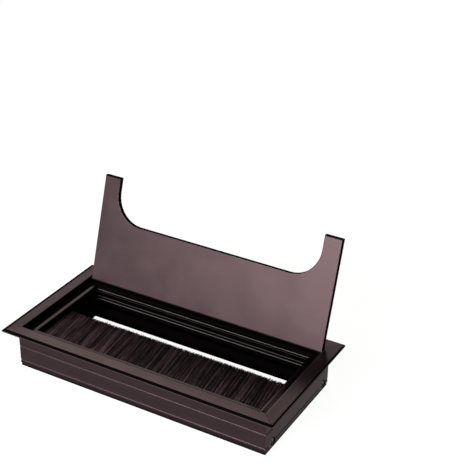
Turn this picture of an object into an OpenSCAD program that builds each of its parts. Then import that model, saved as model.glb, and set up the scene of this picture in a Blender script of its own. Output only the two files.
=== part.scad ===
// Rectangular desk cable grommet: a mitred frame of extruded profile that drops into a desk cut-out,
// with a flush hinged lid and a brush strip across the cable slot.
// Millimetres. Origin at the centre of the rim's underside, the plane that rests on the desk top.
// +X runs along the length, +Y points to the hinge side, +Z points up. The lid is drawn open.

/* [Frame] */
// overall length of the rim
rim_length = 160; // [150:5:240]
// overall width of the rim
rim_width = 80; // [80:2:110]
// thickness of the rim
rim_thick = 1.6; // [1.6:0.1:2.2]
// how far the rim reaches out past the plug
rim_overhang = 6.1; // [5:0.1:8]
// thickness of the plug's outer wall
wall_thick = 1.5; // [1.5:0.1:2]
// depth of the plug below the rim
plug_depth = 22.5; // [22:0.5:30]
// width of the ledge under the lid
ledge_width = 5.5; // [5.4:0.1:7]
// bevel on the rim's outer top edge
rim_bevel = 0.6; // [0.2:0.1:0.6]
// how far the rim's outer edge slopes in underneath
rim_undercut = 0.2; // [0.2:0.1:0.8]
// bevel on the rim's inner top edge
recess_bevel = 0.2; // [0.2:0.1:0.5]

/* [Lid] */
// thickness of the lid
lid_thick = 2.8; // [2:0.1:2.8]
// gap between each end of the lid and the recess
lid_side_gap = 0.3; // [0.3:0.1:1]
// gap in front of the closed lid
lid_front_gap = 2.6; // [1:0.2:4]
// how far the lid stands open in this pose, in degrees from closed
lid_open_angle = 107; // [60:1:107]
// width of the cable cut-out
cut_width = 124; // [90:2:128]
// depth of the cable cut-out
cut_depth = 24.4; // [18:0.2:30]
// corner radius of the cable cut-out
cut_radius = 16; // [6:1:18]
// bevel on the lid's edges
lid_bevel = 0.3; // [0.1:0.1:0.5]

/* [Brush] */
// how far the bristles reach out of the groove
bristle_reach = 30.4; // [15:0.2:40]
// thickness of the bristle row
bristle_thick = 1.8; // [1:0.1:2]

/* [Fasteners] */
// diameter of the hinge pins
pin_diameter = 1.5; // [1.2:0.1:1.5]
// diameter of the end screws' shanks
screw_diameter = 2.8; // [2.4:0.1:2.8]
// diameter of the end screws' heads
head_diameter = 5.5; // [5:0.1:5.6]
// length of the end screws
screw_length = 16; // [10:1:20]
// length of each corner key's leg
key_leg = 16; // [12:1:24]

/* [Hidden] */
$fn = 96;
eps = 0.5;

// profile section, measured inwards from the rim's outer edge
wall_outer = rim_overhang;
wall_inner = wall_outer + wall_thick;
lip_edge = wall_inner + ledge_width;
lip_depth = 1;
mitre_gap = 0.04;

// profile section, heights
ledge_top = -1.5;
ledge_low = -2.6;
ledge_relief = 0.35;
relief_width = 3.35;
upper_rib_top = -3.9;
groove_z = -6.85;
pocket_half = 1.65;
mouth_half = 1.3;
lower_rib_low = -10.4;
port_z = 3.5 - plug_depth;
port_in = wall_inner + 4.9;
port_radius = 3.5;
port_web = 3.6;
port_hole = screw_diameter / 2 + 0.05;
port_slit = 1;
port_overlap = 0.5;
line_depth = 0.4;
line_above = 0.12;
line_below = 0.5;
line_heights = [-4.3, -9.95, 4.25 - plug_depth];
mitre_reach = lip_edge + 0.6;
lead_in = 0.25;
lead_in_top = 2.2 - plug_depth;
foot_bevel = 0.4;
long_foot = 0.4;
end_foot = 3.7;
foot_thick = 1;
edge_break = 0.2;

// hinge axis and lid, measured with the lid closed and level
pivot_y = rim_width / 2 - wall_inner - 2.2;
pivot_z = rim_thick - lid_thick / 2;
lid_width = rim_length - 2 * (wall_inner + lid_side_gap);
lid_reach = pivot_y + rim_width / 2 - wall_inner - lid_front_gap;
cut_arc_x = cut_width / 2 - cut_radius;
cut_floor_y = cut_depth - lid_reach;
cut_arc_y = cut_floor_y - cut_radius;
pin_clearance = 0.05;
pin_hole_depth = 1.45;
pin_hold = 6;

// brush strip, measured inwards from the rim's outer edge
channel_back = wall_inner + 0.4;
channel_front = lip_edge - 1.3;
channel_half = 1.5;
channel_sheet = 0.35;
channel_length = rim_length - 2 * (lip_edge - 0.9);
wire_radius = 0.5;
wire_in = channel_back + channel_sheet + wire_radius + 0.05;
bristle_in = wire_in + wire_radius + 0.08;
bristle_length = rim_length - 2 * lip_edge + 1.6;
bristle_spread = 0.2;

// corner keys
key_inset = 0.6;
key_width = 4.6;
key_height = 1;
key_z = (ledge_low + upper_rib_top) / 2;

// end screws, at the same place in each end wall
screw_x = rim_length / 2 - wall_outer;
screw_y = rim_width / 2 - port_in;
sink_radius = 3.3;
sink_depth = 1.5;
sink_slope = (sink_radius - screw_diameter / 2 - 0.2) / sink_depth;
head_gap = 0.04;
head_dome = 0.5;
cross_width = 0.75;
cross_span = 3.2;
cross_depth = 1.1;
dimple_radius = 0.9;
dimple_z = -10.6;

finish_colour = [0.16, 0.13, 0.13];
zinc_colour = [0.62, 0.62, 0.6];
key_colour = [0.2, 0.2, 0.2];
bristle_colour = [0.06, 0.05, 0.05];

// ---- profile section: x inwards from the rim's outer edge, y is height ----

module rim_wall_and_ribs(foot_reach) {
    pocket_in = lip_edge - lip_depth;
    foot_in = wall_outer + lead_in;
    bead_half = (lip_edge - wall_inner - relief_width) / 2;
    bead_radius = (bead_half * bead_half + ledge_relief * ledge_relief) / (2 * ledge_relief);
    bead_turn = asin(bead_half / bead_radius);
    polygon([
        [rim_undercut, 0],
        [0, rim_undercut],
        [0, rim_thick - rim_bevel],
        [rim_bevel, rim_thick],
        [wall_inner - recess_bevel, rim_thick],
        [wall_inner, rim_thick - recess_bevel],
        [wall_inner, ledge_top],
        [wall_inner + edge_break, ledge_top],
        [wall_inner + edge_break, ledge_top - ledge_relief],
        each [
            for (share = [-1:0.25:1])
                [
                    lip_edge - bead_half + bead_radius * sin(share * bead_turn),
                    ledge_top - bead_radius * (1 - cos(share * bead_turn))
                ]
        ],
        [lip_edge, ledge_low],
        [wall_inner, ledge_low],
        [wall_inner, upper_rib_top],
        [lip_edge, upper_rib_top],
        [lip_edge, groove_z + mouth_half],
        [pocket_in, groove_z + mouth_half],
        [pocket_in, groove_z + pocket_half],
        [wall_inner, groove_z + pocket_half],
        [wall_inner, groove_z - pocket_half],
        [pocket_in, groove_z - pocket_half],
        [pocket_in, groove_z - mouth_half],
        [lip_edge, groove_z - mouth_half],
        [lip_edge, lower_rib_low],
        [wall_inner, lower_rib_low],
        [wall_inner, foot_thick - plug_depth],
        [wall_inner + foot_reach, foot_thick - plug_depth],
        [wall_inner + foot_reach, -plug_depth],
        [foot_in + foot_bevel, -plug_depth],
        [foot_in, foot_bevel - plug_depth],
        [foot_in, lead_in_top - lead_in],
        [wall_outer, lead_in_top],
        [wall_outer, 0]
    ]);
}

module surface_line(height) {
    translate([wall_outer, height])
        polygon([[-eps, line_above], [0, line_above], [line_depth, 0], [0, -line_below], [-eps, -line_below]]);
}

module bar(length) {
    linear_extrude(length, center = true)
        children();
}

// the section as a bar along Z, with a foot lip that reaches inwards
module section_bar(length, foot_reach) {
    difference() {
        bar(length)
            rim_wall_and_ribs(foot_reach);
        for (height = line_heights)
            bar(length + 2)
                surface_line(height);
    }
}

// the long sides' screw port as a bar along Z, joined to the wall by a web
module screw_port(length) {
    difference() {
        union() {
            bar(length)
                translate([wall_inner - port_overlap, port_z - port_web / 2])
                    square([port_in - wall_inner + port_overlap, port_web]);
            bar(length)
                translate([port_in, port_z])
                    circle(port_radius);
        }
        translate([port_in, port_z, 0]) {
            bar(length + 2)
                circle(port_hole);
            rotate([0, 0, -45])
                bar(length + 2)
                    translate([0, -port_slit / 2])
                        square([port_radius + eps, port_slit]);
        }
    }
}

// one side of the frame, along X, with its outer edge on y = 0 and both ends mitred
module mitred_profile(length, foot_reach) {
    intersection() {
        rotate([90, 0, 90])
            section_bar(length, foot_reach);
        translate([0, 0, -plug_depth - 1])
            linear_extrude(plug_depth + rim_thick + 2)
                polygon([
                    [mitre_gap / 2 - length / 2, 0],
                    [length / 2 - mitre_gap / 2, 0],
                    [length / 2 - mitre_reach - mitre_gap / 2, mitre_reach],
                    [mitre_gap / 2 - length / 2 + mitre_reach, mitre_reach]
                ]);
    }
}

// ---- frame ----

module front_profile() {
    color(finish_colour)
        translate([0, -rim_width / 2, 0]) {
            mitred_profile(rim_length, long_foot);
            rotate([90, 0, 90])
                screw_port(rim_length - 2 * (wall_inner + end_foot + mitre_gap));
        }
}

module rear_profile() {
    mirror([0, 1, 0])
        front_profile();
}

// everything cut into the right end wall for one end screw at +Y
module screw_seat() {
    translate([screw_x, screw_y, port_z])
        rotate([0, -90, 0]) {
            cylinder(h = wall_thick + 1, r = screw_diameter / 2 + 0.2);
            cylinder(h = sink_depth, r1 = sink_radius, r2 = sink_radius - sink_slope * sink_depth);
            translate([0, 0, -eps])
                cylinder(h = eps, r = sink_radius);
        }
    translate([screw_x + dimple_radius / 2, screw_y, dimple_z])
        sphere(dimple_radius);
}

module right_profile() {
    color(finish_colour)
        difference() {
            translate([rim_length / 2, 0, 0])
                rotate([0, 0, 90])
                    mitred_profile(rim_width, end_foot);
            screw_seat();
            mirror([0, 1, 0])
                screw_seat();
            translate([rim_length / 2 - wall_inner - eps, pivot_y, pivot_z])
                rotate([0, 90, 0])
                    cylinder(h = pin_hole_depth + eps, r = pin_diameter / 2 + pin_clearance);
        }
}

module left_profile() {
    mirror([1, 0, 0])
        right_profile();
}

// flat angle that sits in the upper channel and joins two sides, drawn for the rear right corner
module corner_key() {
    outer_x = rim_length / 2 - wall_inner - key_inset;
    outer_y = rim_width / 2 - wall_inner - key_inset;
    color(key_colour)
        translate([0, 0, key_z - key_height / 2])
            linear_extrude(key_height)
                polygon([
                    [outer_x, outer_y],
                    [outer_x, outer_y - key_leg],
                    [outer_x - key_width, outer_y - key_leg],
                    [outer_x - key_width, outer_y - key_width],
                    [outer_x - key_leg, outer_y - key_width],
                    [outer_x - key_leg, outer_y]
                ]);
}

module corner_key_rear_right() {
    corner_key();
}

module corner_key_rear_left() {
    mirror([1, 0, 0])
        corner_key();
}

module corner_key_front_right() {
    mirror([0, 1, 0])
        corner_key();
}

module corner_key_front_left() {
    mirror([1, 0, 0])
        mirror([0, 1, 0])
            corner_key();
}

// ---- end screws ----

// half outline of a raised countersunk screw: x is radius, y runs from the head's rim to the tip
module screw_outline() {
    head_radius = head_diameter / 2;
    shank_radius = screw_diameter / 2;
    head_height = (head_radius - shank_radius) / sink_slope;
    polygon([
        [0, 0],
        [head_radius, 0],
        [shank_radius, head_height],
        [shank_radius, screw_length - shank_radius],
        [shank_radius / 3, screw_length],
        [0, screw_length]
    ]);
    dome_radius = (head_radius * head_radius + head_dome * head_dome) / (2 * head_dome);
    intersection() {
        translate([0, dome_radius - head_dome])
            circle(dome_radius);
        translate([0, -head_dome])
            square([head_radius, head_dome]);
    }
}

// drawn at the origin with its axis along +Z into the work
module end_screw() {
    color(zinc_colour)
        difference() {
            rotate_extrude()
                screw_outline();
            for (turn = [0, 90])
                rotate([0, 0, turn])
                    translate([-cross_span / 2, -cross_width / 2, -head_dome - eps])
                        cube([cross_span, cross_width, cross_depth + eps]);
        }
}

module end_screw_rear_right() {
    sink = (sink_radius - head_gap - head_diameter / 2) / sink_slope;
    translate([screw_x - sink, screw_y, port_z])
        rotate([0, -90, 0])
            end_screw();
}

module end_screw_rear_left() {
    mirror([1, 0, 0])
        end_screw_rear_right();
}

module end_screw_front_right() {
    mirror([0, 1, 0])
        end_screw_rear_right();
}

module end_screw_front_left() {
    mirror([1, 0, 0])
        mirror([0, 1, 0])
            end_screw_rear_right();
}

// ---- brush strip, held in the front side's lower groove ----

module brush_place(length) {
    translate([0, -rim_width / 2, groove_z])
        rotate([90, 0, 90])
            bar(length)
                children();
}

module brush_channel() {
    color(zinc_colour)
        brush_place(channel_length)
            difference() {
                translate([channel_back, -channel_half])
                    square([channel_front - channel_back, 2 * channel_half]);
                translate([channel_back + channel_sheet, channel_sheet - channel_half])
                    square([channel_front, 2 * (channel_half - channel_sheet)]);
            }
}

module brush_wire() {
    color(zinc_colour)
        brush_place(channel_length)
            translate([wire_in, 0])
                circle(wire_radius);
}

module brush_bristles() {
    half = bristle_thick / 2;
    tip = half + bristle_spread;
    color(bristle_colour)
        brush_place(bristle_length)
            polygon([
                [bristle_in, -half],
                [lip_edge, -half],
                [lip_edge + bristle_reach, -tip],
                [lip_edge + bristle_reach, tip],
                [lip_edge, half],
                [bristle_in, half]
            ]);
}

// ---- lid, drawn level about its hinge axis and then turned open ----

module lid_place() {
    translate([0, pivot_y, pivot_z])
        rotate([-lid_open_angle, 0, 0])
            children();
}

module cut_outline() {
    translate([-cut_width / 2, -lid_reach - 1])
        square([cut_width, cut_depth - cut_radius + 1]);
    translate([-cut_arc_x, -lid_reach - 1])
        square([2 * cut_arc_x, cut_depth + 1]);
    for (side = [-1, 1])
        translate([side * cut_arc_x, cut_arc_y])
            circle(cut_radius);
}

// square bar along Z that takes a 45 degree bevel off the edge it is centred on
module bevel_bar(length) {
    side = lid_bevel * sqrt(2);
    rotate([0, 0, 45])
        cube([side, side, length], center = true);
}

module lid_bevels() {
    cut_side_length = cut_depth - cut_radius + 1;
    for (face = [-1, 1]) {
        translate([0, 0, face * lid_thick / 2]) {
            for (side = [-1, 1]) {
                translate([side * lid_width / 2, -lid_reach / 2 - 1, 0])
                    rotate([90, 0, 0])
                        bevel_bar(lid_reach + 2);
                translate([side * cut_width / 2, cut_arc_y - cut_side_length / 2, 0])
                    rotate([90, 0, 0])
                        bevel_bar(cut_side_length);
            }
            translate([0, -lid_reach, 0])
                rotate([0, 90, 0])
                    bevel_bar(lid_width + 2);
            translate([0, cut_floor_y, 0])
                rotate([0, 90, 0])
                    bevel_bar(2 * cut_arc_x);
        }
        for (side = [-1, 1])
            translate([side * cut_arc_x, cut_arc_y, face * (lid_thick / 2 - lid_bevel)])
                mirror([0, 0, face < 0 ? 1 : 0])
                    cylinder(h = 2 * lid_bevel, r1 = cut_radius, r2 = cut_radius + 2 * lid_bevel);
    }
}

module lid_panel() {
    color(finish_colour)
        lid_place()
            difference() {
                union() {
                    translate([-lid_width / 2, -lid_reach, -lid_thick / 2])
                        cube([lid_width, lid_reach, lid_thick]);
                    rotate([0, 90, 0])
                        cylinder(h = lid_width, d = lid_thick, center = true);
                }
                translate([0, 0, -lid_thick])
                    linear_extrude(2 * lid_thick)
                        cut_outline();
                lid_bevels();
                for (side = [-1, 1])
                    translate([side * (lid_width / 2 - pin_hold / 2), 0, 0])
                        rotate([0, 90, 0])
                            cylinder(h = pin_hold + 2 * eps, d = pin_diameter + 0.02, center = true);
            }
}

module hinge_pin_right() {
    inner_end = lid_width / 2 - pin_hold;
    outer_end = rim_length / 2 - wall_inner + pin_hole_depth - 0.1;
    tip = 0.2;
    color(zinc_colour)
        lid_place()
            rotate([0, 90, 0]) {
                translate([0, 0, inner_end])
                    cylinder(h = outer_end - tip - inner_end, d = pin_diameter);
                translate([0, 0, outer_end - tip])
                    cylinder(h = tip, d1 = pin_diameter, d2 = pin_diameter - 2 * tip);
            }
}

module hinge_pin_left() {
    mirror([1, 0, 0])
        hinge_pin_right();
}

front_profile();
rear_profile();
left_profile();
right_profile();
corner_key_front_left();
corner_key_front_right();
corner_key_rear_left();
corner_key_rear_right();
end_screw_front_left();
end_screw_front_right();
end_screw_rear_left();
end_screw_rear_right();
brush_channel();
brush_wire();
brush_bristles();
lid_panel();
hinge_pin_left();
hinge_pin_right();
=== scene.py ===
"""Looks for the desk cable grommet: finishes on the CAD nodes, modelled bristles, floor, light and camera."""

import math
import random

import bpy
from mathutils import Matrix, Vector

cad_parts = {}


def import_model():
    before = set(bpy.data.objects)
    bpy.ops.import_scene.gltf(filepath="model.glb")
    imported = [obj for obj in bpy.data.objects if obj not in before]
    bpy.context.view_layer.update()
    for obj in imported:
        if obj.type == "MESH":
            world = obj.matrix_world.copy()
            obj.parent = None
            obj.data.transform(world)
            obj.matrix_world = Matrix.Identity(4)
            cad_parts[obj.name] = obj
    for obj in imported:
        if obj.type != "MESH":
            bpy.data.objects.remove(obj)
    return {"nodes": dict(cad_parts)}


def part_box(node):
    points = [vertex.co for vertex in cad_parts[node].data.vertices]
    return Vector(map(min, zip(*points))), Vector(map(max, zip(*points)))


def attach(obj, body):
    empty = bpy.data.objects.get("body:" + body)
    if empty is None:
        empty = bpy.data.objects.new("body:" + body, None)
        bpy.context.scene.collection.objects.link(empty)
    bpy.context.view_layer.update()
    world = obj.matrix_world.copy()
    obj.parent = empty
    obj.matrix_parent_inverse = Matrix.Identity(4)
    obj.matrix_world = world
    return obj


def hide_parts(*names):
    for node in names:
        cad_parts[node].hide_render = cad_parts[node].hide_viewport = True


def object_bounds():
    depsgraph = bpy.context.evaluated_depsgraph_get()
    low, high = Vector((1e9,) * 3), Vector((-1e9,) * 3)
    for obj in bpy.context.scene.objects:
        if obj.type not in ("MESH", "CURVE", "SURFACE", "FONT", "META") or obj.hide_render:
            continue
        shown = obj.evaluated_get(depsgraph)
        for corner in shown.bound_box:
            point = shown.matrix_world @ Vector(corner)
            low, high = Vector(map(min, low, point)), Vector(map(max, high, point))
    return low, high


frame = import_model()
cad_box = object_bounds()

MM = 0.001
NODES = frame["nodes"]

# camera: the photograph's viewing angle, in degrees, with its lens and sensor in mm
CAMERA_PLACE = Vector((0.27998, -0.43481, 0.34230))
CAMERA_AZIMUTH = -29.45
CAMERA_ELEVATION = 28.34
CAMERA_ROLL = 0.91
CAMERA_LENS = 92.26
SENSOR = 36.0

# the frame's section: half sizes from its middle, and heights from the rim's underside
RECESS_X, RECESS_Y = 72.4 * MM, 32.4 * MM
BEAD_X, BEAD_Y = 69.1 * MM, 29.1 * MM
BEAD_TOP = -2.0 * MM
SIDE_FACE_X, SIDE_FACE_Y = 79.9 * MM, 39.9 * MM
# the rim's lower edge band, where a painted highlight goes
RIM_HIGHLIGHT_BAND = (0.3 * MM, 0.75 * MM)
GROOVES = (-9.95 * MM, -18.25 * MM)
FOOT_LOW, FOOT_HIGH = -19.6 * MM, -19.2 * MM
OUTLINE_LOW, OUTLINE_HIGH = -21.6 * MM, -21.2 * MM
SCREW_Y, SCREW_Z = 27.5 * MM, -19 * MM
SCREW_SPOT = 3.3 * MM
END_WALL = 71 * MM
PLUG_X, PLUG_Y = 73.9 * MM, 33.9 * MM

# the flange between its outlines of painted shade on the rim's side faces, which look wider at the left and
# the front
FLANGE_X = (-78.0 * MM, 79.4 * MM)
FLANGE_Y = (-38.5 * MM, 39.3 * MM)

# painted highlights on the rear side's rib edges in the recess: height and share of the full brightness
RIB_EDGE_HIGHLIGHTS = ((-4.0 * MM, 1.0), (-5.6 * MM, 0.25), (-8.25 * MM, 0.5), (-10.3 * MM, 1.0))

# the lid as it stands in the rest pose, and how far its tip reaches from the rim's underside
LID_OPEN = math.radians(107)
LID_FACE = (0, math.sin(LID_OPEN), math.cos(LID_OPEN))
LID_UPWARD = (0, -math.cos(LID_OPEN), math.sin(LID_OPEN))
LID_TIP = 68.2 * MM

# colours
# painted shade: near black, for the recess, the rim's outline, faces that look down, the screw seats and the
# lid's edges
SHADED = (0.004, 0.003, 0.003)
BRONZE = (0.105, 0.067, 0.067)
BRONZE_DEEP = (0.066, 0.042, 0.042)
# scuffed edges, and the painted highlights along the rim and the right inner edge
BRONZE_WORN_AND_LIT = (0.2, 0.145, 0.143)
LID_BRONZE = (0.165, 0.109, 0.112)
LID_BRONZE_DEEP = (0.13, 0.086, 0.088)
# painted highlight on the rear rib edges
RIB_EDGE_HIGHLIGHT = (0.2, 0.17, 0.165)
# painted highlight on the ledge's bead
BEAD_HIGHLIGHT = (0.19, 0.143, 0.138)
# painted light on the right relief, paler than the painted shade
RELIEF_LIGHT = (0.068, 0.05, 0.047)
NYLON_DARK = (0.006, 0.0035, 0.004)
NYLON_PALE = (0.46, 0.29, 0.295)
# the end profiles: a darker copy of the bronze, painted shade
END_SHADE_SHARE = 0.74
# a painted tint on the end walls that offsets the floor glow's colour
END_WALL_TINT = (1.13, 1.0, 0.87)
NO_TINT = (1.0, 1.0, 1.0)

# the bristle row
BRISTLE_LEAN = 0.13
SHORTER = 0.3 * MM
SIDES = 3
STATIONS = (0.0, 0.3, 0.65, 0.98, 1.0)
SPACING = 0.165 * MM
LAYERS = 9
ROW_DEPTH = 1.5 * MM
CLUMP_WIDTH = 0.75 * MM
UPRIGHT_END = 12 * MM


# ---------------------------------------------------------------- node helpers

class Graph:
    """A material's node tree, with short calls for the nodes used here."""

    def __init__(self, name):
        self.material = bpy.data.materials.new(name)
        self.material.use_nodes = True
        self.tree = self.material.node_tree
        self.tree.nodes.clear()
        self.output = self.tree.nodes.new("ShaderNodeOutputMaterial")

    def node(self, kind, **values):
        made = self.tree.nodes.new(kind)
        for key, value in values.items():
            setattr(made, key, value)
        return made

    def link(self, source, target):
        self.tree.links.new(source, target)

    def put(self, target, value):
        if isinstance(value, bpy.types.NodeSocket):
            self.link(value, target)
        else:
            target.default_value = value

    def math(self, operation, a, b=0.0, clamp=False):
        made = self.node("ShaderNodeMath", operation=operation, use_clamp=clamp)
        self.put(made.inputs[0], a)
        self.put(made.inputs[1], b)
        return made.outputs[0]

    def product(self, first, *rest):
        for value in rest:
            first = self.math("MULTIPLY", first, value)
        return first

    def most(self, first, *rest):
        for value in rest:
            first = self.math("MAXIMUM", first, value)
        return first

    def without(self, value):
        return self.math("SUBTRACT", 1.0, value, clamp=True)

    def mapped(self, scale=(1, 1, 1), offset=(0, 0, 0)):
        coordinates = self.node("ShaderNodeTexCoord")
        mapping = self.node("ShaderNodeMapping")
        mapping.inputs["Scale"].default_value = scale
        mapping.inputs["Location"].default_value = offset
        self.link(coordinates.outputs["Object"], mapping.inputs["Vector"])
        return mapping.outputs["Vector"]

    def parts(self, vector):
        made = self.node("ShaderNodeSeparateXYZ")
        self.link(vector, made.inputs[0])
        return made.outputs

    def place(self):
        """The point's X, Y and Z in the shared frame, in metres."""
        return self.parts(self.mapped())

    def dot(self, vector, direction):
        made = self.node("ShaderNodeVectorMath", operation="DOT_PRODUCT")
        self.link(vector, made.inputs[0])
        self.put(made.inputs[1], direction)
        return made.outputs["Value"]

    def noise(self, scale, detail=2.0, roughness=0.5, offset=(0, 0, 0)):
        return self.noise_at(self.mapped(scale, offset), detail, roughness)

    def noise_at(self, vector, detail, roughness=0.5):
        made = self.node("ShaderNodeTexNoise")
        self.link(vector, made.inputs["Vector"])
        made.inputs["Scale"].default_value = 1.0
        made.inputs["Detail"].default_value = detail
        made.inputs["Roughness"].default_value = roughness
        return made.outputs[0]

    def span(self, value, from_low, from_high, to_low, to_high):
        made = self.node("ShaderNodeMapRange")
        self.put(made.inputs["Value"], value)
        made.inputs["From Min"].default_value = from_low
        made.inputs["From Max"].default_value = from_high
        made.inputs["To Min"].default_value = to_low
        made.inputs["To Max"].default_value = to_high
        return made.outputs[0]

    def swing(self, value, half):
        """A noise value as a swing of half about 0."""
        return self.span(value, 0.3, 0.7, -half, half)

    def blend(self, factor, a, b, mode="MIX"):
        made = self.node("ShaderNodeMix", data_type="RGBA", blend_type=mode)
        self.put(made.inputs[0], factor)
        self.put(made.inputs[6], a)
        self.put(made.inputs[7], b)
        return made.outputs[2]

    def shade(self, share, colour):
        """The colour times a share."""
        grey = self.node("ShaderNodeCombineColor")
        for channel in range(3):
            self.put(grey.inputs[channel], share)
        return self.blend(1.0, colour, grey.outputs[0], mode="MULTIPLY")

    def shade_where(self, mask, share, colour):
        """The colour times a share where mask is 1."""
        return self.shade(self.span(mask, 0.0, 1.0, 1.0, share), colour)

    def bump(self, height, strength, distance, normal=None):
        made = self.node("ShaderNodeBump")
        made.inputs["Strength"].default_value = strength
        made.inputs["Distance"].default_value = distance
        self.link(height, made.inputs["Height"])
        if normal is not None:
            self.link(normal, made.inputs["Normal"])
        return made.outputs[0]

    def edge(self, radius):
        """(1 on sharp edges and 0 on flats, the softened normal)."""
        soft = self.node("ShaderNodeBevel", samples=6)
        soft.inputs["Radius"].default_value = radius
        geometry = self.node("ShaderNodeNewGeometry")
        agreement = self.dot(soft.outputs[0], geometry.outputs["Normal"])
        return self.span(agreement, 0.985, 0.86, 0.0, 1.0), soft.outputs[0]

    def within(self, half_x, half_y, soft):
        """1 inside an upright box about the frame's middle and 0 outside it."""
        place = self.place()
        along = self.span(self.math("ABSOLUTE", place["X"]), half_x, half_x + soft, 1.0, 0.0)
        across = self.span(self.math("ABSOLUTE", place["Y"]), half_y, half_y + soft, 1.0, 0.0)
        return self.math("MULTIPLY", along, across)

    def ramp(self, axis, low, high, low_value=0.0, high_value=1.0):
        """low_value where the coordinate is under low, and high_value where it is over high."""
        return self.span(self.place()[axis], low, high, low_value, high_value)

    def between(self, axis, low, high, soft):
        """1 where the coordinate lies between low and high."""
        value = self.place()[axis]
        return self.math("MULTIPLY", self.span(value, low - soft, low, 0.0, 1.0),
                         self.span(value, high, high + soft, 1.0, 0.0))

    def level(self, height, half):
        """1 in a thin level band at a height."""
        away = self.math("ABSOLUTE", self.math("SUBTRACT", self.place()["Z"], height))
        return self.span(away, half, half + 0.04 * MM, 1.0, 0.0)

    def screw_seat_shade(self):
        """1 inside a round spot about each end screw, on the end walls, where painted shade goes."""
        place = self.place()
        across = self.math("SUBTRACT", self.math("ABSOLUTE", place["Y"]), SCREW_Y)
        down = self.math("SUBTRACT", place["Z"], SCREW_Z)
        square = self.math("ADD", self.math("MULTIPLY", across, across), self.math("MULTIPLY", down, down))
        away = self.math("SQRT", square)
        far = self.span(self.math("ABSOLUTE", place["X"]), END_WALL, END_WALL + 0.2 * MM, 0.0, 1.0)
        return self.math("MULTIPLY", far, self.span(away, SCREW_SPOT, SCREW_SPOT + 0.1 * MM, 1.0, 0.0))

    def facing(self, low, high):
        """0 on faces whose normal's rise is on low's side and 1 on high's side."""
        geometry = self.node("ShaderNodeNewGeometry")
        return self.span(self.parts(geometry.outputs["True Normal"])["Z"], low, high, 0.0, 1.0)

    def principled(self, color, roughness, normal, **fixed):
        made = self.node("ShaderNodeBsdfPrincipled")
        self.put(made.inputs["Base Color"], color)
        self.put(made.inputs["Roughness"], roughness)
        self.link(normal, made.inputs["Normal"])
        for key, value in fixed.items():
            made.inputs[key.replace("_", " ")].default_value = value
        self.link(made.outputs[0], self.output.inputs["Surface"])
        return made

    def dull(self, made, factor, colour):
        """Give way to a plain matt surface where factor is 1."""
        matt = self.node("ShaderNodeBsdfDiffuse")
        self.put(matt.inputs["Color"], colour)
        mix = self.node("ShaderNodeMixShader")
        self.put(mix.inputs[0], factor)
        self.link(made.outputs[0], mix.inputs[1])
        self.link(matt.outputs[0], mix.inputs[2])
        self.link(mix.outputs[0], self.output.inputs["Surface"])


def rgba(r, g, b):
    return (r, g, b, 1.0)


def darker(colour, share):
    return tuple(c * share for c in colour)


# ---------------------------------------------------------------- anodised metal

class Anodised:
    """Dyed anodised extrusion: lines drawn along one axis, with a faint mottle."""

    def __init__(self, name, axis, colour, deep, rough, grain):
        self.graph = Graph(name)
        self.rough = rough
        self.grain = grain
        g = self.graph
        self.fine = g.noise(self.drawn(axis, 18, 2600), detail=3.0, roughness=0.6)
        broad = g.noise(self.drawn(axis, 7, 420), detail=2.0, offset=(0.31, 0.17, 0.23))
        self.mottle = g.noise((55, 55, 55), detail=4.0, roughness=0.55, offset=(0.11, 0.43, 0.27))
        tone = g.math("ADD", g.swing(self.fine, 0.16 * grain),
                      g.span(broad, 0.35, 0.65, 0.5 - 0.16 * grain, 0.5 + 0.16 * grain))
        tone = g.math("ADD", tone, g.swing(self.mottle, 0.08 * grain), clamp=True)
        self.dye = g.blend(tone, rgba(*deep), rgba(*colour))
        self.edge, self.soft_normal = g.edge(0.25 * MM)

    @staticmethod
    def drawn(axis, along, across):
        return tuple(along if i == axis else across for i in range(3))

    def finish(self, base, unlit, matt):
        """The material: metal of the base colour that gives way to matt where unlit is 1; the matt colour is
        painted shade, with painted light and painted highlights in places.
        """
        g = self.graph
        pits = g.noise((5200, 5200, 5200), detail=1.0)
        roughness = g.math("ADD", g.span(self.fine, 0.3, 0.7, self.rough - 0.04 * self.grain,
                                         self.rough + 0.04 * self.grain), g.swing(self.mottle, 0.03))
        height = g.math("ADD", g.math("MULTIPLY", self.fine, 0.7), g.math("MULTIPLY", pits, 0.3))
        normal = g.bump(height, 0.16 * self.grain, 0.02 * MM, self.soft_normal)
        metal = g.principled(base, roughness, normal, Metallic=0.9)
        g.dull(metal, unlit, matt)
        return g.material


def anodised_lid(name):
    """The lid: paler bronze, with painted shade that darkens it towards the tip and makes its edges near
    black.
    """
    metal = Anodised(name, 0, LID_BRONZE, LID_BRONZE_DEEP, rough=0.34, grain=0.16)
    g = metal.graph
    across = g.math("ABSOLUTE", g.dot(g.node("ShaderNodeTexCoord").outputs["Normal"], LID_FACE))
    reach = g.dot(g.mapped(), LID_UPWARD)
    # painted shade: near black on the edge faces and beyond the tip
    unlit = g.most(g.span(across, 0.8, 0.95, 0.95, 0.0),
                   g.span(reach, LID_TIP, LID_TIP + 0.1 * MM, 0.0, 0.95))
    # painted shade: darker towards the tip
    base = g.shade(g.span(reach, 30 * MM, 66 * MM, 1.0, 0.74), metal.dye)
    return metal.finish(base, unlit, rgba(*SHADED))


def lit_bead(g, right):
    """1 on the ledge's rounded bead, where a painted highlight goes. It ends before the rear, and fades to
    the rear at the right end.
    """
    bead = g.product(g.within(BEAD_X, BEAD_Y, 0.15 * MM), g.ramp("Z", BEAD_TOP - 0.2 * MM, BEAD_TOP),
                     g.facing(0.2, 0.7), g.ramp("Y", 23 * MM, 26.5 * MM, 1.0, 0.0))
    fade = g.product(right, g.ramp("Y", -27 * MM, 10 * MM, 0.25, 1.0))
    return g.math("MULTIPLY", bead, g.without(fade))


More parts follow.
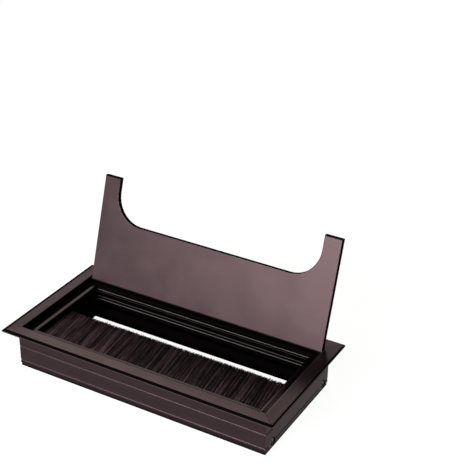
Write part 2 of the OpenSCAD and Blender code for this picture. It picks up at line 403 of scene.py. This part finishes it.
def side_colour(g, base, bead, right, wall_tint):
    """The frame's colour by place: the bead's painted highlight, painted shade for the lid's dark reflection
    in the right flange's middle, the wall with its tint and its foot, painted shade on the grooves to the
    right and a painted shadow under the rim.
    """
    # the wall's tint: on the end profiles a painted tint that offsets the floor glow's colour
    base = g.blend(g.ramp("Z", -2 * MM, -1 * MM, 1.0, 0.0), base, rgba(*wall_tint), mode="MULTIPLY")
    # painted highlight on the bead
    base = g.blend(bead, base, rgba(*BEAD_HIGHLIGHT))
    # painted shade: the lid's dark reflection in the middle of the right flange
    lid_reflection_shade = g.product(right, g.ramp("Z", -0.5 * MM, 0), g.ramp("Y", -22 * MM, 8 * MM),
                      g.ramp("Y", 14 * MM, 34 * MM, 1.0, 0.0))
    base = g.shade_where(lid_reflection_shade, 0.4, base)
    base = g.shade(g.ramp("Z", FOOT_LOW, FOOT_HIGH, 0.5, 1.0), base)
    base = g.shade(g.ramp("Z", OUTLINE_LOW, OUTLINE_HIGH, 0.25, 1.0), base)
    # painted shade: the groove lines dimmer towards the right
    right_half = g.ramp("X", -50 * MM, 50 * MM)
    for height in GROOVES:
        base = g.shade_where(g.product(g.level(height, 0.5 * MM), right_half), 0.58, base)
    # painted shadow of the rim on the top of the wall
    rim_shadow = g.product(g.ramp("Z", -4.1 * MM, -4.0 * MM), g.ramp("Z", -1.2 * MM, -1.0 * MM, 1.0, 0.0))
    return g.shade_where(rim_shadow, 0.72, base)


def recess_colour(g, inner, right):
    """The matt colour inside the recess: painted shade, near black, but for painted light on the right relief
    and painted highlights on the rear rib edges.
    """
    # painted light on the right relief near the front
    relief = g.product(inner, right, g.facing(0.2, 0.7), g.ramp("Y", -28 * MM, -6 * MM, 1.0, 0.0))
    matt = g.blend(relief, rgba(*SHADED), rgba(*RELIEF_LIGHT))
    # painted highlights on the rear rib edges
    rear = g.product(inner, g.ramp("Y", 24 * MM, 25 * MM), g.ramp("Y", 28 * MM, 28.5 * MM, 1.0, 0.0),
                     g.without(g.facing(0.1, 0.3)))
    for height, share in RIB_EDGE_HIGHLIGHTS:
        rib = g.math("MULTIPLY", rear, g.level(height, 0.22 * MM))
        matt = g.blend(rib, matt, rgba(*darker(RIB_EDGE_HIGHLIGHT, share)))
    return matt


def anodised_side(name, axis, share=1.0, wall_tint=NO_TINT):
    """A side of the frame: bronze with paler edges, partly scuffing and partly painted highlight, and painted
    shade that makes it near black in the recess, round the end screws, on faces that look down and along the
    rim's outline."""
    # share below 1 makes a darker copy of the bronze: painted shade
    metal = Anodised(name, axis, darker(BRONZE, share), darker(BRONZE_DEEP, share), rough=0.36, grain=1.0)
    g = metal.graph
    inner = g.within(RECESS_X, RECESS_Y, 0.05 * MM)
    flange = g.product(g.between("X", *FLANGE_X, 0.15 * MM), g.between("Y", *FLANGE_Y, 0.15 * MM))
    outline_shade = g.without(flange)
    right = g.ramp("X", 60 * MM, 62 * MM)
    bead = lit_bead(g, right)
    side_face = g.without(g.within(SIDE_FACE_X, SIDE_FACE_Y, 0.02 * MM))
    # painted highlight along the rim's lower edge
    rim_highlight = g.math("MULTIPLY", side_face, g.between("Z", *RIM_HIGHLIGHT_BAND, 0.05 * MM))
    # painted highlight on the right flange's inner edge
    inner_edge_highlight = g.product(right, g.between("X", RECESS_X, RECESS_X + 0.5 * MM, 0.05 * MM),
                           g.between("Y", -RECESS_Y, RECESS_Y, 0.05 * MM))
    # painted shade: near black in the recess but for the bead, round the end screws, on faces that look down
    # and on the rim's outline
    unlit = g.most(g.math("MULTIPLY", inner, g.without(bead)), g.screw_seat_shade(),
                   g.facing(-0.25, -0.5), outline_shade)
    unlit = g.math("MULTIPLY", unlit, g.without(rim_highlight))
    # paler sharp edges, partly scuffing and partly painted highlight
    wear_and_highlight = g.math("MULTIPLY", metal.edge, g.span(metal.mottle, 0.35, 0.65, 0.6, 0.9), clamp=True)
    wear_and_highlight = g.most(g.product(wear_and_highlight, g.without(inner), g.without(outline_shade)), g.math("MULTIPLY", rim_highlight, 0.9),
                  g.math("MULTIPLY", inner_edge_highlight, 0.6))
    worn_and_highlit = g.blend(wear_and_highlight, metal.dye, rgba(*BRONZE_WORN_AND_LIT))
    base = side_colour(g, worn_and_highlit, bead, right, wall_tint)
    return metal.finish(base, unlit, recess_colour(g, inner, right))


# ---------------------------------------------------------------- other finishes

def plated(name, colour, rough, scratches=(2600, 700, 2600)):
    """Zinc plated or bare steel with a fine cloudy bloom and small scratches."""
    g = Graph(name)
    cloud = g.noise((700, 700, 700), detail=4.0, roughness=0.6)
    scratch = g.noise(scratches, detail=2.0)
    base = g.blend(g.span(cloud, 0.3, 0.7, 0.0, 1.0), rgba(*darker(colour, 0.62)), rgba(*colour))
    roughness = g.math("ADD", g.span(cloud, 0.3, 0.7, rough - 0.06, rough + 0.06),
                       g.span(scratch, 0.35, 0.65, -0.05, 0.05))
    _, soft_normal = g.edge(0.15 * MM)
    normal = g.bump(scratch, 0.25, 0.01 * MM, soft_normal)
    g.principled(base, roughness, normal, Metallic=0.95)
    return g.material


def nylon(name):
    """Dark filaments: each one its own shade of brown, in streaks that lean with the row, and paler
    where they leave the front side."""
    g = Graph(name)
    island = g.node("ShaderNodeNewGeometry").outputs["Random Per Island"]
    place = g.place()
    root = g.math("ADD", place["X"], g.math("MULTIPLY", place["Y"], BRISTLE_LEAN))
    leaning = g.node("ShaderNodeCombineXYZ")
    g.put(leaning.inputs[0], g.math("MULTIPLY", root, 1700.0))
    g.put(leaning.inputs[1], g.math("MULTIPLY", place["Y"], 25.0))
    g.put(leaning.inputs[2], g.math("MULTIPLY", place["Z"], 260.0))
    streak = g.noise_at(leaning.outputs[0], detail=3.0)
    along = g.noise((380, 60, 380), detail=2.0, offset=(0.2, 0.4, 0.1))
    mix = g.math("ADD", g.math("MULTIPLY", island, 0.3), g.span(streak, 0.4, 0.62, 0.0, 0.6))
    mix = g.math("ADD", mix, g.span(along, 0.3, 0.7, 0.0, 0.1), clamp=True)
    mix = g.math("POWER", mix, 2.8)
    base = g.blend(mix, rgba(*NYLON_DARK), rgba(*NYLON_PALE))
    whole_row = g.ramp("Y", -26 * MM, 3 * MM, 1.05, 0.55)
    near_front = g.ramp("Y", -24 * MM, -16 * MM, 1.1, 0.0)
    base = g.shade(g.math("ADD", whole_row, near_front), base)
    roughness = g.span(island, 0.0, 1.0, 0.42, 0.6)
    g.principled(base, roughness, g.bump(along, 0.15, 0.02 * MM), Specular_IOR_Level=0.15)
    return g.material


long_finish = anodised_side("anodised_along_length", 0)
# the end profiles: a darker, tinted copy, painted shade
short_finish = anodised_side("anodised_along_width", 1, END_SHADE_SHARE, END_WALL_TINT)
lid_finish = anodised_lid("anodised_lid")
screw_finish = plated("blackened_screw", (0.2, 0.185, 0.18), 0.3)
key_finish = plated("cast_key", (0.02, 0.019, 0.019), 0.5)
sheet_finish = plated("galvanised_sheet", (0.34, 0.34, 0.34), 0.4)
pin_finish = plated("ground_pin", (0.5, 0.5, 0.5), 0.25, scratches=(4200, 4200, 260))
bristle_finish = nylon("nylon_bristle")

FINISH_BY_START = {
    "front_profile": long_finish,
    "rear_profile": long_finish,
    "left_profile": short_finish,
    "right_profile": short_finish,
    "corner_key": key_finish,
    "end_screw": screw_finish,
    "brush_channel": sheet_finish,
    "brush_wire": sheet_finish,
    "brush_bristles": bristle_finish,
    "lid_panel": lid_finish,
    "hinge_pin": pin_finish,
}
for name, node in NODES.items():
    for start, finish in FINISH_BY_START.items():
        if name.startswith(start):
            node.data.materials.clear()
            node.data.materials.append(finish)


# ---------------------------------------------------------------- bristles

def clump_row(draw, width):
    """One layer's clumps, each with its sway, extra length, lean and rise."""
    return [
        (draw.gauss(0, 0.15 * MM), draw.gauss(0, 0.3 * MM),
         draw.gauss(-BRISTLE_LEAN, 0.022), draw.gauss(0, 0.12 * MM))
        for _ in range(int(width / CLUMP_WIDTH) + 3)
    ]


def spine(draw, low, high, x0, layer, clump, centre):
    """A filament's (x, y, z, radius) at each station, from its root to its tip."""
    _, longer, lean, rise = clump
    middle = (low.z + high.z) / 2
    z0 = middle + ROW_DEPTH * ((layer + 0.5) / LAYERS - 0.5) + draw.gauss(0, 0.04 * MM)
    length = high.y - low.y - SHORTER + longer + draw.gauss(0, 0.25 * MM)
    if draw.random() < 0.03:
        length -= abs(draw.gauss(0, 1.4 * MM))
    from_end = min(1.0, (high.x - x0) / UPRIGHT_END)
    tilt = lean * from_end + draw.gauss(0, 0.024)
    bend = draw.gauss(0, 0.3 * MM)
    lift = rise + draw.gauss(0, 0.12 * MM)
    radius = draw.uniform(0.095, 0.13) * MM
    made = []
    for t in STATIONS:
        free = max(0.0, (t - 0.12) / 0.88)
        x = x0 + tilt * length * free + bend * math.sin(math.pi * free)
        x += (centre - x0) * 0.18 * free
        x = min(max(x, low.x), high.x)
        z = z0 + (lift - 0.2 * MM) * free ** 2
        made.append((x, low.y + length * t, z, radius * (1.0 - 0.35 * t ** 3)))
    return made


def add_filament(points, faces, stations):
    """A three-sided filament through the stations, closed at both ends."""
    first = len(points)
    for x, y, z, r in stations:
        for k in range(SIDES):
            turn = 2 * math.pi * (k / SIDES + 0.25)
            points.append((x + r * math.cos(turn), y, z + r * math.sin(turn)))
    last = first + (len(stations) - 1) * SIDES
    for a in range(first, last, SIDES):
        for k in range(SIDES):
            n = (k + 1) % SIDES
            faces.append((a + k, a + n, a + SIDES + n, a + SIDES + k))
    faces.append(tuple(first + k for k in reversed(range(SIDES))))
    faces.append(tuple(last + k for k in range(SIDES)))


def brush():
    """The bristle row: thin filaments in small clumps, ragged at the tips."""
    low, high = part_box("brush_bristles")
    width = high.x - low.x
    draw = random.Random(41)
    points = []
    faces = []
    for layer in range(LAYERS):
        shift = draw.random() * CLUMP_WIDTH
        clumps = clump_row(draw, width)
        for i in range(int(width / SPACING)):
            x0 = low.x + (i + draw.random()) * SPACING
            index = int((x0 - low.x + shift) / CLUMP_WIDTH)
            clump = clumps[index]
            centre = low.x - shift + (index + 0.5) * CLUMP_WIDTH + clump[0]
            add_filament(points, faces, spine(draw, low, high, x0, layer, clump, centre))
    mesh = bpy.data.meshes.new("bristle_row")
    mesh.from_pydata(points, [], faces)
    mesh.update()
    row = bpy.data.objects.new("bristle_row", mesh)
    bpy.context.scene.collection.objects.link(row)
    mesh.materials.append(bristle_finish)
    mesh.polygons.foreach_set("use_smooth", [True] * len(mesh.polygons))
    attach(row, "frame")
    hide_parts("brush_bristles")


brush()


# ---------------------------------------------------------------- stage

FLOOR_HALF = 6.0
FLOOR_GREY = 0.41
RING_START, RING_END = 0.16, 0.4


def camera_only(tree, seen, unseen):
    """A shader that the camera sees as seen and every other ray as unseen."""
    path = tree.nodes.new("ShaderNodeLightPath")
    mix = tree.nodes.new("ShaderNodeMixShader")
    tree.links.new(path.outputs["Is Camera Ray"], mix.inputs[0])
    tree.links.new(unseen, mix.inputs[1])
    tree.links.new(seen, mix.inputs[2])
    return mix.outputs[0]


def floor():
    """A pale floor that the object stands on. The camera sees it nearly white. The object's metal sees
    a grey ring round the frame that fades out, and no light inside the frame."""
    z = cad_box[0].z - 0.05 * MM
    half = FLOOR_HALF
    corners = [(-half, -half, z), (half, -half, z), (half, half, z), (-half, half, z)]
    mesh = bpy.data.meshes.new("floor")
    mesh.from_pydata(corners, [], [(0, 1, 2, 3)])
    plane = bpy.data.objects.new("floor", mesh)
    bpy.context.scene.collection.objects.link(plane)
    g = Graph("pale_floor")
    glow = g.node("ShaderNodeEmission")
    glow.inputs["Color"].default_value = rgba(1.0, 0.998, 0.995)
    glow.inputs["Strength"].default_value = 0.96
    matt = g.node("ShaderNodeBsdfDiffuse")
    matt.inputs["Color"].default_value = rgba(0.15, 0.15, 0.15)
    add = g.node("ShaderNodeAddShader")
    g.link(glow.outputs[0], add.inputs[0])
    g.link(matt.outputs[0], add.inputs[1])
    place = g.place()
    away_x = g.span(g.math("ABSOLUTE", place["X"]), PLUG_X, PLUG_X + 1 * MM, 0.0, 1.0)
    away_y = g.span(g.math("ABSOLUTE", place["Y"]), PLUG_Y, PLUG_Y + 1 * MM, 0.0, 1.0)
    distance = g.node("ShaderNodeVectorMath", operation="LENGTH")
    g.link(g.mapped(), distance.inputs[0])
    ring = g.span(distance.outputs["Value"], RING_START, RING_END, FLOOR_GREY, 0.0)
    bounce = g.node("ShaderNodeEmission")
    bounce.inputs["Color"].default_value = rgba(1.0, 0.96, 1.04)
    g.put(bounce.inputs["Strength"], g.product(g.most(away_x, away_y), ring))
    g.link(camera_only(g.tree, add.outputs[0], bounce.outputs[0]), g.output.inputs["Surface"])
    mesh.materials.append(g.material)


def world():
    """White to the camera, a dim grey studio to everything else."""
    made = bpy.data.worlds.new("studio")
    bpy.context.scene.world = made
    made.use_nodes = True
    tree = made.node_tree
    tree.nodes.clear()
    output = tree.nodes.new("ShaderNodeOutputWorld")
    seen = tree.nodes.new("ShaderNodeBackground")
    seen.inputs["Color"].default_value = rgba(1, 1, 1)
    seen.inputs["Strength"].default_value = 1.05
    unseen = tree.nodes.new("ShaderNodeBackground")
    unseen.inputs["Color"].default_value = rgba(1.0, 0.98, 0.99)
    unseen.inputs["Strength"].default_value = 0.12
    tree.links.new(camera_only(tree, seen.outputs[0], unseen.outputs[0]), output.inputs["Surface"])


def softbox(name, place, target, width, height, power, colour):
    light = bpy.data.lights.new(name, "AREA")
    light.shape = "RECTANGLE"
    light.size = width
    light.size_y = height
    light.energy = power
    light.color = colour
    lamp = bpy.data.objects.new(name, light)
    bpy.context.scene.collection.objects.link(lamp)
    lamp.location = place
    aim = Vector(target) - Vector(place)
    lamp.rotation_euler = aim.to_track_quat("-Z", "Y").to_euler()
    lamp.visible_camera = False


def camera():
    azimuth, elevation = math.radians(CAMERA_AZIMUTH), math.radians(CAMERA_ELEVATION)
    look = Vector((
        math.cos(elevation) * math.sin(azimuth),
        math.cos(elevation) * math.cos(azimuth),
        -math.sin(elevation),
    ))
    right = look.cross(Vector((0, 0, 1))).normalized()
    up = right.cross(look)
    roll = math.radians(CAMERA_ROLL)
    across = math.cos(roll) * right + math.sin(roll) * up
    upward = -math.sin(roll) * right + math.cos(roll) * up
    data = bpy.data.cameras.new("camera")
    data.lens = CAMERA_LENS
    data.sensor_width = SENSOR
    data.clip_start = 0.01
    data.clip_end = 20.0
    made = bpy.data.objects.new("camera", data)
    bpy.context.scene.collection.objects.link(made)
    turn = Matrix((across, upward, -look)).transposed().to_4x4()
    made.matrix_world = Matrix.Translation(CAMERA_PLACE) @ turn
    bpy.context.scene.camera = made


floor()
world()
softbox("front", (-0.2, -1.2, 0.5), (0.0, 0.03, 0.03), 0.7, 0.5, 16.0, (1.0, 1.0, 1.05))
softbox("rear_left", (-0.95, 1.39, 1.14), (0.0, 0.0, 0.0), 0.8, 0.4, 2.9, (1.0, 1.0, 0.98))
softbox("top", (-0.5, -0.45, 0.95), (0.0, 0.0, 0.0), 0.5, 0.4, 2.2, (1.0, 1.0, 1.0))
camera()
bpy.context.scene.view_settings.view_transform = "Standard"
